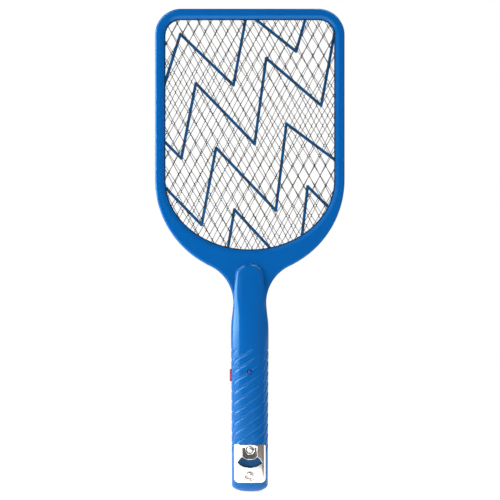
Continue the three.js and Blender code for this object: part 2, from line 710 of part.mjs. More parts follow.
place('battery_1', 'cell', dryCell(-CELL_X, true));
place('battery_2', 'cell', dryCell(CELL_X, false));
place('battery_bridge_contact', 'zinc', bridgeContact());
place('battery_spring_contact', 'zinc', springContact());
place('battery_flat_contact', 'zinc', flatContact());
place('battery_lead_positive', 'wire_red', batteryLead(-1));
place('battery_lead_negative', 'wire_black', batteryLead(1));
place('high_voltage_wire_front', 'wire_red', electrodeWire(-1));
place('high_voltage_wire_rear', 'wire_black', electrodeWire(1));

export default swatter;
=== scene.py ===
"""Looks for the electric fly swatter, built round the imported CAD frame.

Lengths in the named constants are millimetres and are turned into metres when a mesh is made.
The front of the swatter faces -Y, +Z runs up the handle to the head tip.
"""

import json
import math

import bmesh
import bpy
import numpy as np
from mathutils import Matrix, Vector
from mathutils.geometry import delaunay_2d_cdt


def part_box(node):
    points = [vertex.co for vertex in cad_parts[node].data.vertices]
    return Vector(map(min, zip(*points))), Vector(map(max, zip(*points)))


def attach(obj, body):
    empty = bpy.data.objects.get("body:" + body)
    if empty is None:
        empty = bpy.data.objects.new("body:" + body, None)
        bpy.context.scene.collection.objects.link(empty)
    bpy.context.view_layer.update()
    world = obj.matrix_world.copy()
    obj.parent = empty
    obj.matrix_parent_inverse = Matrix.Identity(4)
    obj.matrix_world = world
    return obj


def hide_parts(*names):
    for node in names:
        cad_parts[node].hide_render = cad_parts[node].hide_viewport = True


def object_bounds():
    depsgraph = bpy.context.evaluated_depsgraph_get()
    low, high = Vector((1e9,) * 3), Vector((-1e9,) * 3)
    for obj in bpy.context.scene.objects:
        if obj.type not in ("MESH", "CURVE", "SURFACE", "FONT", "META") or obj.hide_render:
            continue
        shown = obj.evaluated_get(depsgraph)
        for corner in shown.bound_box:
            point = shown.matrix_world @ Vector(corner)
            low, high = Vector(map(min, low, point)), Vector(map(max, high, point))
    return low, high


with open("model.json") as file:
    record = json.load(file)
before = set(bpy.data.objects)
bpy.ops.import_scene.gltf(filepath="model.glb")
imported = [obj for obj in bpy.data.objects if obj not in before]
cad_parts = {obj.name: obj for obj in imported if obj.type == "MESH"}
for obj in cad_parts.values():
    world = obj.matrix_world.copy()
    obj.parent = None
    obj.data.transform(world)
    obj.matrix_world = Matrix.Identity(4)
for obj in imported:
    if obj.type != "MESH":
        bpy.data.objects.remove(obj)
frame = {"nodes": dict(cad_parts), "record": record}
NODES = frame["nodes"]
CAD_BOX = [list(corner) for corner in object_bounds()]
MM = 0.001


def cad_box(node):
    """Lowest and highest corner of a CAD node in millimetres."""
    low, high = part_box(node)
    return np.array(low) / MM, np.array(high) / MM


def node_middle(node):
    low, high = cad_box(node)
    return (low + high) / 2


# ---- sizes, millimetres --------------------------------------------------------------------------
SHELL_HIGH = cad_box("front_shell")[1]
LENGTH = SHELL_HIGH[2]
HEAD_HALF_WIDTH = SHELL_HIGH[0]
SPLIT = -SHELL_HIGH[1]
HEAD_DEPTH = 6.15
HEAD_CORNER_R = 27.0
HEAD_ARC_Z = 322.6
EDGE_R = 2.2
NECK_HALF_WIDTH = 17.05
NECK_Z = 195.3
NECK_RISE = HEAD_ARC_Z - NECK_Z
FILLET_R = ((NECK_HALF_WIDTH**2 + NECK_RISE**2 - HEAD_HALF_WIDTH**2)
            / (2 * (HEAD_HALF_WIDTH - NECK_HALF_WIDTH)))
FILLET_X = NECK_HALF_WIDTH + FILLET_R
OPENING_HALF_WIDTH = 88.7
OPENING_TOP = 489.6
OPENING_CORNER_R = 17.0
OPENING_DROP = 73.2
CHAMFER_REACH = 3.4
CHAMFER_DROP = 1.3
RABBET_REACH = 3.0
RABBET_DEPTH = 3.2
JOIN_Z = 238.0

SECTION_POWER = 2.5
COLUMNS = 180
# Each pair of lists holds heights up the handle and the half width or depth there.
HANDLE_WIDTHS = ([0, 0.5, 1, 2, 3, 4, 5, 6, 7.3, 45, 150, 160, 171, 177, 181, 185, 190, 195.3, 200],
                 [8.5, 11, 12.8, 15.2, 16.8, 17.8, 18.5, 18.9, 19.15, 19.2, 19.4, 19.45, 19.3, 18.9,
                  18.4, 17.9, 17.4, 17.05, 17.05])
HANDLE_DEPTHS = ([0, 0.5, 1, 2, 3, 4, 5, 6, 7.3, 171, 177, 185, 195, 203, 210, 217, 224],
                 [6, 7.6, 8.8, 10.8, 12.3, 13.6, 14.5, 15.1, 15.5, 15.5, 15.4, 15.1, 14.5, 13.7,
                  12.8, 11.7, 10.5])
NOSE_WIDTHS = ([171, 177, 181, 185, 190, 195.3, 200, 206, 212, 218, 224],
               [19.3, 18.9, 18.4, 17.9, 17.4, 17.1, 16.95, 16.6, 16, 15.2, 14.3])
NOSE_FROM_Z = 171.0
NOSE_RISEN_Z = 208.0
NOSE_SQUARE_Z = 222.0
NOSE_SINK = 0.6
NOSE_FILLETS = (0.05, 0.6)
NOSE_POWER = 3.8
NOSE_SHOULDER_Z = 224.0
NOSE_TIP_Z = 235.4
GROOVE_PITCH = 10.7
GROOVE_CLIMB = ([-1, -0.93, -0.86, 0, 0.8, 1], [0, 4.6, 9.2, 20, 32.6, 42.8])
GROOVE_PHASE_Z = 7.0
GROOVE_DEPTH = 0.66
GROOVE_HALF_WIDTH = 1.6
GROOVE_FADE = 0.65
GRIP_SPAN = (38.0, 148.0)
GRIP_RUN_OUT = 4.0
WALL = 2.2
HOLLOW_TOP_Z = 224.0
WIRE_WAY = (6.5, 4.0)
WIRE_WAY_TOP_Z = 248

MESH_NEAR = 2.3
STRAND_WIDTHS = (0.64, 0.52)
STRAND_THICKNESS = 0.5
KNOT_HALF_HEIGHT = 1.5
FRONT_LATTICE = {"across": (11.29, -0.126), "up": (0.62, 20.81), "knot": (-10.3, 380.0)}
REAR_LATTICE = {"across": (11.56, 0.505), "up": (-1.26, 20.57), "knot": (-5.3, 375.6)}

PLATE_LOW, PLATE_HIGH = cad_box("bottle_opener")
PLATE_HALF_WIDTH = PLATE_HIGH[0]
PLATE_Z = (PLATE_LOW[2], PLATE_HIGH[2])
PLATE_CORNER_R = 4.5
PLATE_THICKNESS = 1.2
MOUTH_HALF_WIDTH = 12.9
MOUTH_TIP_Z = 30.0
MOUTH_BOTTOM_Z = 25.3
TAB_HALF_WIDTH = 7.4
TAB_EDGE_Z = 33.3
TAB_BULGE = 2.3
TAB_TOP_Z = 46.4
NOTCH_TOP_Z = 36.1
TAB_SINK = (0.05, 1.0)
DIMPLE_SINK = 2.3
DIMPLE_RADII = (3.1, 4.9)
SCREW_HOLE_R = 1.9
POCKET_Z = 30.6
POCKET_STEPS = [(12.4, 7.4, -6.6), (9.6, 5.4, -5.7), (6.8, 3.4, -4.8)]
OPENER_SCREWS_Z = [node_middle(node)[2] for node in ("opener_screw_1", "opener_screw_2")]
LED_Z = node_middle("indicator_led")[2]
BUTTON_LOW, BUTTON_HIGH = cad_box("power_button")
BUTTON_Z = node_middle("power_button")[2]
DOOR_LOW, DOOR_HIGH = cad_box("battery_door")
HEAD_SCREWS = [f"head_screw_{i}" for i in range(1, 9)]
HANDLE_SCREWS = [f"handle_screw_{i}" for i in range(1, 4)]


# ---- small numeric helpers -----------------------------------------------------------------------
def smoothstep(low, high, value):
    """Ease from 0 at low to 1 at high."""
    share = np.clip((np.asarray(value, float) - low) / (high - low), 0, 1)
    return share * share * (3 - 2 * share)


def soft_max(a, b, radius):
    """Larger of two heights, with a fillet of about this radius where they cross."""
    overlap = np.clip(radius - np.abs(a - b), 0, None)
    return np.maximum(a, b) + overlap**2 / (4 * radius)


def through(value, knots):
    """Smooth curve through the knots, with slopes that never overshoot."""
    xs, ys = (np.array(k, float) for k in knots)
    steps = np.diff(ys) / np.diff(xs)
    total, product = steps[:-1] + steps[1:], steps[:-1] * steps[1:]
    inner = np.where(product > 0, 2 * product / np.where(total == 0, 1, total), 0)
    slopes = np.concatenate([[steps[0]], inner, [steps[-1]]])
    value = np.clip(np.asarray(value, float), xs[0], xs[-1])
    i = np.clip(np.searchsorted(xs, value, side="right") - 1, 0, len(xs) - 2)
    gap = xs[i + 1] - xs[i]
    t = (value - xs[i]) / gap
    return ((2 * t**3 - 3 * t**2 + 1) * ys[i] + (t**3 - 2 * t**2 + t) * gap * slopes[i]
            + (3 * t**2 - 2 * t**3) * ys[i + 1] + (t**3 - t**2) * gap * slopes[i + 1])


# ---- the shell's outline and height --------------------------------------------------------------
def half_width(z):
    """Half the outline's width from the handle end up to where the ribbon of the head takes over."""
    z = np.asarray(z, float)
    fillet = FILLET_X - np.sqrt(np.clip(FILLET_R**2 - (z - NECK_Z) ** 2, 0, None))
    circle = np.sqrt(np.clip(HEAD_HALF_WIDTH**2 - (z - HEAD_ARC_Z) ** 2, 0, None))
    tangent_z = HEAD_ARC_Z - HEAD_HALF_WIDTH * NECK_RISE / math.hypot(FILLET_X, NECK_RISE)
    return np.where(z < NECK_Z, through(z, HANDLE_WIDTHS), np.where(z < tangent_z, fillet, circle))


def edge_distance(x, z):
    """How far a point of the head or neck is inside the outer outline."""
    x = np.abs(x)
    corner_x, corner_z = HEAD_HALF_WIDTH - HEAD_CORNER_R, LENGTH - HEAD_CORNER_R
    fillet = np.hypot(x - FILLET_X, z - NECK_Z) - FILLET_R
    round_head = HEAD_HALF_WIDTH - np.hypot(x, z - HEAD_ARC_Z)
    corner = HEAD_CORNER_R - np.hypot(x - corner_x, z - corner_z)
    straight = np.minimum(HEAD_HALF_WIDTH - x, LENGTH - z)
    upper = np.where((x > corner_x) & (z > corner_z), corner, straight)
    below_tangent = np.arctan2(z - HEAD_ARC_Z, x) < math.atan2(-NECK_RISE, FILLET_X)
    lower = np.where(below_tangent, fillet, round_head)
    return np.where(z < NECK_Z, half_width(z) - x, np.where(z < HEAD_ARC_Z, lower, upper))


def opening_distance(x, z):
    """How far a point is outside the opening's edge."""
    x = np.abs(x)
    drop = np.clip(HEAD_ARC_Z - z, 1e-9, None)
    ratio = np.hypot(x / OPENING_HALF_WIDTH, drop / OPENING_DROP)
    slope = np.hypot(x / OPENING_HALF_WIDTH**2, drop / OPENING_DROP**2)
    ellipse = (ratio - 1) * ratio / np.clip(slope, 1e-9, None)
    corner_x, corner_z = OPENING_HALF_WIDTH - OPENING_CORNER_R, OPENING_TOP - OPENING_CORNER_R
    corner = np.hypot(x - corner_x, z - corner_z) - OPENING_CORNER_R
    straight = np.maximum(x - OPENING_HALF_WIDTH, z - OPENING_TOP)
    upper = np.where((x > corner_x) & (z > corner_z), corner, straight)
    return np.where(z < HEAD_ARC_Z, ellipse, upper)


def plate_height(x, z):
    """Flat head and neck: rounded outer edge, and a chamfer down to the opening."""
    inside = np.clip(edge_distance(x, z), 0, EDGE_R)
    edge = HEAD_DEPTH - EDGE_R + np.sqrt(EDGE_R**2 - (EDGE_R - inside) ** 2)
    reach = np.clip(1 - opening_distance(x, z) / CHAMFER_REACH, -1, 1)
    chamfer = CHAMFER_DROP * soft_max(reach, 0 * reach, 0.25)
    return edge - chamfer


def nose_height(x, z):
    """End of the handle, which squares up as it sinks into the flat neck."""
    dome = np.sqrt(np.clip(1 - ((z - NOSE_SHOULDER_Z) / (NOSE_TIP_Z - NOSE_SHOULDER_Z)) ** 2, 0, 1))
    dome = np.where(z > NOSE_SHOULDER_Z, dome, 1.0)
    width = through(z, NOSE_WIDTHS) * np.clip(dome, 0.01, None)
    base = (HEAD_DEPTH - NOSE_SINK) * smoothstep(NOSE_FROM_Z, NOSE_RISEN_Z, z)
    power = SECTION_POWER + (NOSE_POWER - SECTION_POWER) * smoothstep(NOSE_FROM_Z, NOSE_SQUARE_Z, z)
    share = np.clip(1 - (np.abs(x) / width) ** power, 0, None)
    return base + (through(z, HANDLE_DEPTHS) - base) * dome**0.5 * share ** (1 / power)


def handle_height(x, z):
    share = np.clip(1 - (np.abs(x) / half_width(z)) ** SECTION_POWER, 0, None)
    return through(z, HANDLE_DEPTHS) * share ** (1 / SECTION_POWER)


def shell_height(x, z):
    """Distance of the shell's outer surface from the split plane, without grooves."""
    x, z = np.broadcast_arrays(np.asarray(x, float), np.asarray(z, float))
    ramp = smoothstep(NOSE_FROM_Z, NOSE_RISEN_Z - 4, z)
    nose = np.where(z < NOSE_TIP_Z, nose_height(x, z), 0)
    fillet = NOSE_FILLETS[0] + (NOSE_FILLETS[1] - NOSE_FILLETS[0]) * ramp
    joined = soft_max(plate_height(x, z) * ramp, nose, fillet)
    return np.where(z < NOSE_FROM_Z, handle_height(x, z), joined)


def groove_depth(x, z, side):
    """Depth of the helical grip grooves, shallower on the right half of each face as it is looked at."""
    share = np.clip(-side * x / half_width(z), -1, 1)
    phase = (z - GROOVE_PHASE_Z - through(share, GROOVE_CLIMB)) / GROOVE_PITCH
    away = np.abs(phase - np.round(phase)) * GROOVE_PITCH / GROOVE_HALF_WIDTH
    low, high = GRIP_SPAN
    window = smoothstep(low, low + GRIP_RUN_OUT, z) * (1 - smoothstep(high - GRIP_RUN_OUT, high, z))
    faint = GROOVE_FADE * smoothstep(-0.15, 0.25, share) * (1 - smoothstep(0.75, 0.95, share))
    return GROOVE_DEPTH * (1 - faint) * window * np.clip(1 - away**2, 0, None) ** 1.5


def skin_points(x, z, side, sink=0.0, grooved=True):
    """Points of the outer surface, pressed in along its normal by the grooves and by sink."""
    x, z = np.broadcast_arrays(np.asarray(x, float), np.asarray(z, float))
    height = shell_height(x, z)
    slope_x = np.abs(x / half_width(z)) ** (SECTION_POWER - 1) / half_width(z)
    slope_y = (height / through(z, HANDLE_DEPTHS)) ** (SECTION_POWER - 1) / through(z, HANDLE_DEPTHS)
    size = np.hypot(slope_x, slope_y)
    press = sink + (groove_depth(x, z, side) if grooved else 0)
    inset = x - np.sign(x) * press * slope_x / size
    return np.stack([inset, side * (height - press * slope_y / size), z], axis=-1)


# ---- mesh helpers --------------------------------------------------------------------------------
def new_object(name, verts_mm, faces):
    mesh = bpy.data.meshes.new(name)
    mesh.from_pydata([tuple(v) for v in np.asarray(verts_mm, float) * MM], [], faces)
    obj = bpy.data.objects.new(name, mesh)
    bpy.context.scene.collection.objects.link(obj)
    return obj


def tidy_mesh(obj, weld=0.004):
    work = bmesh.new()
    work.from_mesh(obj.data)
    bmesh.ops.remove_doubles(work, verts=work.verts, dist=weld * MM)
    bmesh.ops.dissolve_degenerate(work, edges=work.edges, dist=weld * MM / 4)
    bmesh.ops.recalc_face_normals(work, faces=work.faces)
    work.to_mesh(obj.data)
    work.free()


def smooth(obj, angle=35):
    obj.data.polygons.foreach_set("use_smooth", [True] * len(obj.data.polygons))
    obj.data.set_sharp_from_angle(angle=math.radians(angle))


def bake(obj):
    """Applies the modifiers to the mesh."""
    bpy.context.view_layer.update()
    evaluated = obj.evaluated_get(bpy.context.evaluated_depsgraph_get())
    old = obj.data
    obj.data = bpy.data.meshes.new_from_object(evaluated)
    obj.modifiers.clear()
    bpy.data.meshes.remove(old)
    obj.data.name = obj.name


def cut(obj, cutters):
    """Subtracts each cutter and removes it."""
    for cutter in cutters:
        tidy_mesh(cutter)
        boolean = obj.modifiers.new("cut", "BOOLEAN")
        boolean.operation = "DIFFERENCE"
        boolean.solver = "EXACT"
        boolean.object = cutter
    bake(obj)
    for cutter in cutters:
        bpy.data.objects.remove(cutter)


def bevel(obj, width, segments=3, angle=35):
    modifier = obj.modifiers.new("bevel", "BEVEL")
    modifier.width = width * MM
    modifier.segments = segments
    modifier.limit_method = "ANGLE"
    modifier.angle_limit = math.radians(angle)
    bake(obj)


def lathe(name, profile, centre, axis="Y", steps=48):
    """Turned solid from (radius, height) points along an axis through centre."""
    verts, faces = [], []
    rings = []
    for radius, height in profile:
        if radius < 1e-6:
            rings.append([len(verts)])
            verts.append((0, 0, height))
            continue
        rings.append(list(range(len(verts), len(verts) + steps)))
        verts += [(radius * math.cos(a), radius * math.sin(a), height)
                  for a in np.linspace(0, 2 * math.pi, steps, endpoint=False)]
    for low, high in zip(rings, rings[1:]):
        for i in range(steps):
            j = (i + 1) % steps
            quad = [low[i % len(low)], low[j % len(low)], high[j % len(high)], high[i % len(high)]]
            face = list(dict.fromkeys(quad))
            if len(face) > 2:
                faces.append(face)
    points = np.array(verts)
    if axis == "Y":
        points = points[:, [0, 2, 1]]
    if axis == "X":
        points = points[:, [2, 0, 1]]
    obj = new_object(name, points + np.array(centre), faces)
    tidy_mesh(obj)
    return obj


def block(name, low, high):
    corners = [(x, y, z) for x in (low[0], high[0]) for y in (low[1], high[1]) for z in (low[2], high[2])]
    faces = [(0, 1, 3, 2), (4, 6, 7, 5), (0, 4, 5, 1), (2, 3, 7, 6), (0, 2, 6, 4), (1, 5, 7, 3)]
    return new_object(name, corners, faces)


def arc(cx, cz, radius, start, end, steps):
    angles = np.radians(np.linspace(start, end, steps + 1))
    return [(cx + radius * math.cos(a), cz + radius * math.sin(a)) for a in angles]


def resample(points, spacing):
    """Closed outline with extra points so that no edge is longer than spacing."""
    dense = []
    for (x0, z0), (x1, z1) in zip(points, points[1:] + points[:1]):
        count = max(1, math.ceil(math.hypot(x1 - x0, z1 - z0) / spacing))
        dense += [(x0 + (x1 - x0) * i / count, z0 + (z1 - z0) * i / count) for i in range(count)]
    return dense


def inside_outline(points, outline):
    """Even-odd test of many points against one closed outline."""
    x, z = points[:, 0], points[:, 1]
    hit = np.zeros(len(points), bool)
    for (x0, z0), (x1, z1) in zip(outline, outline[1:] + outline[:1]):
        if z0 == z1:
            continue
        hit ^= ((z0 > z) != (z1 > z)) & (x < (x1 - x0) * (z - z0) / (z1 - z0) + x0)
    return hit


def sheet_triangles(outline, holes, spacing):
    """Fills an outline with holes by triangles on a regular grid of inner points."""
    loops = [resample(loop, spacing) for loop in [outline] + holes]
    border = [p for loop in loops for p in loop]
    edges, start = [], 0
    for loop in loops:
        count = len(loop)
        edges += [(start + i, start + (i + 1) % count) for i in range(count)]
        start += count
    xs, zs = zip(*outline)
    grid = np.array([(x, z) for x in np.arange(min(xs) + spacing / 2, max(xs), spacing)
                     for z in np.arange(min(zs) + spacing / 2, max(zs), spacing)])
    keep = inside_outline(grid, loops[0])
    for loop in loops[1:]:
        keep &= ~inside_outline(grid, loop)
    grid = grid[keep]
    far = np.min(np.hypot(grid[:, None, 0] - np.array(border)[None, :, 0],
                          grid[:, None, 1] - np.array(border)[None, :, 1]), axis=1) > spacing * 0.45
    points = border + [tuple(p) for p in grid[far]]
    verts, _, faces, _, _, _ = delaunay_2d_cdt([Vector(p) for p in points], edges, [], 1, 1e-6)
    flat = np.array([tuple(v) for v in verts])
    centres = np.array([flat[list(f)].mean(axis=0) for f in faces])
    keep = inside_outline(centres, loops[0])
    for loop in loops[1:]:
        keep &= ~inside_outline(centres, loop)
    return flat, [list(f) for f, wanted in zip(faces, keep) if wanted]


def slab(name, outline, holes, spacing, outer, inner):
    """Curved plate between two surfaces, each a function of flat x and z that gives points."""
    flat, faces = sheet_triangles(outline, holes, spacing)
    count = len(flat)
    verts = np.vstack([outer(flat[:, 0], flat[:, 1]), inner(flat[:, 0], flat[:, 1])])
    sides = {}
    for face in faces:
        for a, b in zip(face, face[1:] + face[:1]):
            sides[(a, b)] = sides.get((b, a), 0) == 0
    rim = [(a, b) for (a, b) in sides if (b, a) not in sides]
    walls = [(b, a, a + count, b + count) for a, b in rim]
    back = [[v + count for v in reversed(face)] for face in faces]
    obj = new_object(name, verts, faces + back + walls)
    tidy_mesh(obj)
    return obj


# ---- moulded shells ------------------------------------------------------------------------------
def grid_rows():
    dome = [0, 0.25, 0.6, 1.0, 1.5, 2.1, 2.8, 3.6, 4.5, 5.4, 6.3, 7.3]
    low, high = GRIP_SPAN
    return np.concatenate([dome, np.linspace(10, low - 1, 12), np.arange(low, high, 0.42),
                           np.linspace(high, 182, 24), np.arange(182.8, JOIN_Z - 0.4, 0.75), [JOIN_Z]])


def grid_section(z, side):
    """One handle or neck section: a corner on the split plane, the outer surface, the other corner."""
    angle = np.linspace(0, math.pi, COLUMNS + 1)
    x = half_width(z) * np.sign(np.cos(angle)) * np.abs(np.cos(angle)) ** (2 / SECTION_POWER)
    points = skin_points(x, np.full_like(x, z), side)
    points[:, 1] = side * np.maximum(side * points[:, 1], SPLIT + 0.006)
    ends = points[[0, -1]].copy()
    ends[:, 1] = side * SPLIT
    return np.vstack([ends[:1], points, ends[1:]])


def head_loop():
    """Pairs of outer and inner outline points round the head, from the neck join's right end."""
    pairs = []
    join_x = float(half_width(JOIN_Z))
    start = math.atan2(JOIN_Z - HEAD_ARC_Z, join_x)
    for angle in np.linspace(start, 0, 70)[1:]:
        pairs.append((polar(angle, HEAD_HALF_WIDTH), polar(angle, None)))
    corner_z = LENGTH - HEAD_CORNER_R
    inner_corner_x, inner_corner_z = OPENING_HALF_WIDTH - OPENING_CORNER_R, OPENING_TOP - OPENING_CORNER_R
    for share in np.linspace(0, 1, 30)[1:]:
        outer = (HEAD_HALF_WIDTH, HEAD_ARC_Z + share * (corner_z - HEAD_ARC_Z))
        pairs.append((outer, (OPENING_HALF_WIDTH, HEAD_ARC_Z + share * (inner_corner_z - HEAD_ARC_Z))))
    outer_arc = arc(HEAD_HALF_WIDTH - HEAD_CORNER_R, corner_z, HEAD_CORNER_R, 0, 90, 24)[1:]
    inner_arc = arc(inner_corner_x, inner_corner_z, OPENING_CORNER_R, 0, 90, 24)[1:]
    pairs += list(zip(outer_arc, inner_arc))
    for share in np.linspace(1, 0, 20)[1:]:
        outer = (share * (HEAD_HALF_WIDTH - HEAD_CORNER_R), LENGTH)
        pairs.append((outer, (share * inner_corner_x, OPENING_TOP)))
    mirrored = [((-o[0], o[1]), (-i[0], i[1])) for o, i in reversed(pairs[:-1])]
    return pairs + mirrored


def polar(angle, radius):
    """Point round the head arc's centre: on the outer arc, or on the opening's edge."""
    c, s = math.cos(angle), math.sin(angle)
    reach = radius or 1 / math.hypot(c / OPENING_HALF_WIDTH, s / OPENING_DROP)
    return (reach * c, HEAD_ARC_Z + reach * s)


def band_section(outer, inner, side, joined):
    """Section across the head's rim: split plane, outer surface, chamfer, lip and electrode rabbet."""
    outer, inner = np.array(outer), np.array(inner)
    length = np.hypot(*(inner - outer))
    along = (inner - outer) / length
    near = [0, 0.03, 0.12, 0.3, 0.55, 0.9, 1.35, 1.8, 2.2]
    middle = list(np.linspace(2.2, length - 3.6, 9)[1:])
    last = [length - d for d in (3.2, 2.9, 2.5, 2.0, 1.3, 0.6, 0.0)]
    flat = outer + np.outer(near + middle + last, along)
    height = side * shell_height(flat[:, 0], flat[:, 1])
    if joined:
        height[0] = side * shell_height(flat[0, 0], flat[0, 1])
    surface = np.stack([flat[:, 0], height, flat[:, 1]], axis=1)
    lip = (inner[0], side * RABBET_DEPTH, inner[1])
    back = inner - along * RABBET_REACH
    rabbet = [(back[0], side * RABBET_DEPTH, back[1]), (back[0], side * SPLIT, back[1])]
    return np.vstack([[(outer[0], side * SPLIT, outer[1])], surface, [lip], rabbet])


def shell(name, side):
    """One half of the moulding, as a closed solid."""
    rows = grid_rows()
    sections = [grid_section(z, side) for z in rows]
    width = len(sections[0])
    verts = list(np.vstack(sections))
    faces = []
    for r in range(len(rows) - 1):
        a = r * width
        faces += [(a + j, a + j + 1, a + width + j + 1, a + width + j) for j in range(width - 1)]
        if r < len(rows) - 2:
            faces.append((a, a + width, a + 2 * width - 1, a + width - 1))
    faces.append(tuple(range(width)))
    seam = sections[-1][1:-1]
    angles = [math.atan2(JOIN_Z - HEAD_ARC_Z, p[0]) for p in seam[::-1]]
    loop = [((p[0], JOIN_Z), polar(angle, None), True) for p, angle in zip(seam[::-1], angles)]
    loop += [(outer, inner, False) for outer, inner in head_loop()]
    bands = [band_section(outer, inner, side, joined) for outer, inner, joined in loop]
    for band, point in zip(bands, seam[::-1]):
        band[1] = point
    start, depth, count = len(verts), len(bands[0]), len(bands)
    verts += list(np.vstack(bands))
    for k in range(count):
        n = (k + 1) % count
        wall_open = k < len(seam) - 1
        for m in range(depth):
            if m == 0 and wall_open:
                continue
            faces.append((start + k * depth + m, start + n * depth + m,
                          start + n * depth + (m + 1) % depth, start + k * depth + (m + 1) % depth))
    last = (len(rows) - 2) * width
    back_row = [start + k * depth for k in range(len(seam))]
    faces.append([last, last + width - 1] + back_row)
    obj = new_object(name, verts, faces)
    tidy_mesh(obj)
    return obj


def hollow(name, side, low, high):
    """The space inside a shell half, up to the wire channel that opens into the electrode rabbet."""
    knots = list(np.arange(low, HOLLOW_TOP_Z, 4.0)) + [HOLLOW_TOP_Z]
    angle = np.linspace(0, math.pi, 25)
    rings = []
    for z in knots:
        w, d = float(through(z, HANDLE_WIDTHS)) - WALL, float(through(z, HANDLE_DEPTHS)) - WALL
        w -= max(0.0, z - 200) * 0.12
        x = w * np.sign(np.cos(angle)) * np.abs(np.cos(angle)) ** 0.8
        y = side * d * np.abs(np.sin(angle)) ** 0.8
        y[[0, -1]] = -side
        rings.append(np.stack([x, y, np.full_like(x, z)], axis=1))
    for z in (HOLLOW_TOP_Z + 1, high):
        x = WIRE_WAY[0] * np.clip(np.cos(angle) * 1.6, -1, 1)
        y = side * WIRE_WAY[1] * np.clip(np.sin(angle) * 1.8, 0, 1)
        y[[0, -1]] = -side
        rings.append(np.stack([x, y, np.full_like(x, z)], axis=1))
    width = len(angle)
    faces = [tuple(range(width)), tuple(range((len(rings) - 1) * width, len(rings) * width))]
    for r in range(len(rings) - 1):
        near, far = r * width, (r + 1) * width
        faces += [(near + i, near + (i + 1) % width, far + (i + 1) % width, far + i) for i in range(width)]
    return new_object(name, np.vstack(rings), faces)


def plate_outline(grow=0.0):
    """Outline of the cap lifter's plate, with its lower corners rounder than its upper ones."""
    low, high = PLATE_Z
    radius, half = PLATE_CORNER_R + grow, PLATE_HALF_WIDTH + grow
    right = arc(half - radius, low - grow + radius, radius, -90, 0, 14)
    right += arc(half - 1.2, high + grow - 1.2, 1.2, 0, 90, 6)
    return right + [(-x, z) for x, z in reversed(right)]


def plug(name, outline, near, far, axis):
    """Straight cutter with this outline, from near to far along X or Y."""
    count = len(outline)
    if axis == "X":
        verts = [(depth, u, z) for depth in (near, far) for u, z in outline]
    else:
        verts = [(u, depth, z) for depth in (near, far) for u, z in outline]
    faces = [tuple(range(count)), tuple(range(2 * count - 1, count - 1, -1))]
    faces += [(i, (i + 1) % count, count + (i + 1) % count, count + i) for i in range(count)]
    return new_object(name, verts, faces)


def button_hole(name):
    """Cutter for the rounded slot in the left side that the button slides in."""
    radius, half_y, half_z = 2.8, 1.55, 4.0
    outline = [(y, z) for cx, cz, start in ((1, 1, 0), (-1, 1, 90), (-1, -1, 180), (1, -1, 270))
               for y, z in arc(cx * half_y, BUTTON_Z + cz * half_z, radius, start, start + 90, 8)]
    return plug(name, outline, -24, -15.2, "X")


def oval(half_width_x, half_height, z):
    return [(half_width_x * math.cos(a), z + half_height * math.sin(a))
            for a in np.linspace(0, 2 * math.pi, 48, endpoint=False)]


def front_shell():
    """Front half, with the lifter's recess and pocket, and holes for the screws, LED and button."""
    obj = shell("front_moulding", -1)
    recess = slab("recess", plate_outline(0.3), [], 1.2,
                  lambda x, z: skin_points(x, z, -1, -2.0, False),
                  lambda x, z: skin_points(x, z, -1, PLATE_THICKNESS + 0.3, False))
    dish = [(0, -18), (5.2, -18), (5.2, -10.9), (0, -10.9)]
    bore = [(0, -18), (1.8, -18), (1.8, -6), (0, -6)]
    pockets = [lathe("dish", dish, (0, 0, z)) for z in OPENER_SCREWS_Z]
    bores = [lathe("bore", bore, (0, 0, z), steps=24) for z in OPENER_SCREWS_Z]
    cap_pocket = block("pocket", (-14, -19, 21), (14, -7.5, 39.5))
    led_bore = [(0, -19), (2.9, -19), (2.8, -15.4), (2.58, -15.0), (2.58, -11), (0, -11)]
    led_hole = lathe("led_hole", led_bore, (0, 0, LED_Z))
    cut(obj, [hollow("hollow", -1, 50.2, WIRE_WAY_TOP_Z)])
    cut(obj, [recess])
    cut(obj, pockets + [cap_pocket, led_hole, button_hole("button_hole")])
    cut(obj, bores)
    for half, height, floor in POCKET_STEPS:
        cut(obj, [plug("step", oval(half, height, POCKET_Z), -9, floor, "Y")])
    return obj


def rear_shell():
    """Rear half, with the doorway to the cells and wells for the head screws."""
    obj = shell("rear_moulding", 1)
    gap = 0.5
    doorway = block("doorway", (DOOR_LOW[0] - gap, -1, DOOR_LOW[2] - gap),
                    (DOOR_HIGH[0] + gap, 20, DOOR_HIGH[2] + gap))
    cut(obj, [hollow("hollow", 1, 3.5, WIRE_WAY_TOP_Z)])
    cut(obj, [doorway])
    wells = [button_hole("button_hole")]
    well = [(0, 4.2), (2.4, 4.2), (2.4, 5.9), (2.7, 6.3), (2.7, 9), (0, 9)]
    for node in HEAD_SCREWS:
        centre = node_middle(node) * (1, 0, 1)
        wells.append(lathe("well", well, centre, steps=32))
    cut(obj, wells)
    return obj


def screw_columns():
    """Hollow columns of the rear half that the handle screws sit in."""
    pieces = []
    for node in HANDLE_SCREWS:
        z = node_middle(node)[2]
        top = float(shell_height(0.0, z))
        profile = [(1.5, SPLIT), (4.2, SPLIT), (4.2, top - 1.2), (3.35, top - 0.03), (3.0, top - 0.35),
                   (3.0, 6.5), (1.5, 6.5), (1.5, SPLIT)]
        column = lathe("column_" + node, profile, (0, 0, z))
        column_cut = lathe("opening", [(0, -1), (3.2, -1), (3.2, 18), (0, 18)], (0, 0, z))
        pieces.append((column, column_cut))
    return pieces


# ---- electrodes ----------------------------------------------------------------------------------
def inside_rim(x, z, reach):
    return float(opening_distance(x, z)) < reach


